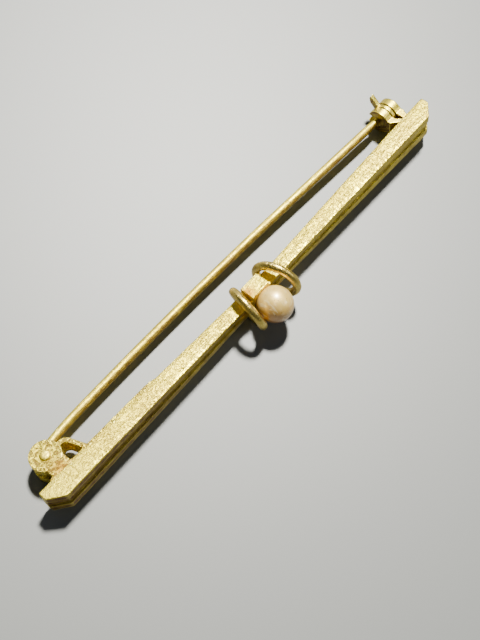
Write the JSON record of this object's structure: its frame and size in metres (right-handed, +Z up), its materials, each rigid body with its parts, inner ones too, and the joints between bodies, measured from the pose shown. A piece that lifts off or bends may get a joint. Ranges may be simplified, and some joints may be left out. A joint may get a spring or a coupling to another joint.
{
  "type": "pearl bar brooch",
  "caption": "Gold bar brooch with grooved, tapering arms, one pearl between two wire rings, a riveted pin and a turning safety catch.",
  "frame": {"origin": "middle of the outline seen from above, on the surface that the brooch lies on", "axes": "+X along the bar from hinge to catch, +Y from the pearl towards the wearer's side, +Z up from the surface"},
  "size_m": [0.05, 0.0086, 0.0047],
  "materials": {
    "gold": "satin, fine scratches",
    "pin_gold": "polished by wear",
    "pearl": "cream pearl lustre"
  },
  "bodies": {
    "brooch": {"frame": "gold", "pearl": "pearl", "hinge_rivet": "pin_gold"},
    "pin": {"pin": "pin_gold"},
    "catch_collar": {"catch_collar": "gold"}
  },
  "joints": [
    {"name": "pin_hinge", "type": "hinge", "parent": "brooch", "child": "pin", "pos_m": [-0.02245, 0.00214, 0.0015], "axis": [0, 0.2429, 0.9701], "range_deg": [0, 100]},
    {"name": "catch_turn", "type": "hinge", "parent": "brooch", "child": "catch_collar", "pos_m": [0.02223, 0.00224, 0.00147], "axis": [1, 0, 0], "range_deg": [0, 95]}
  ]
}
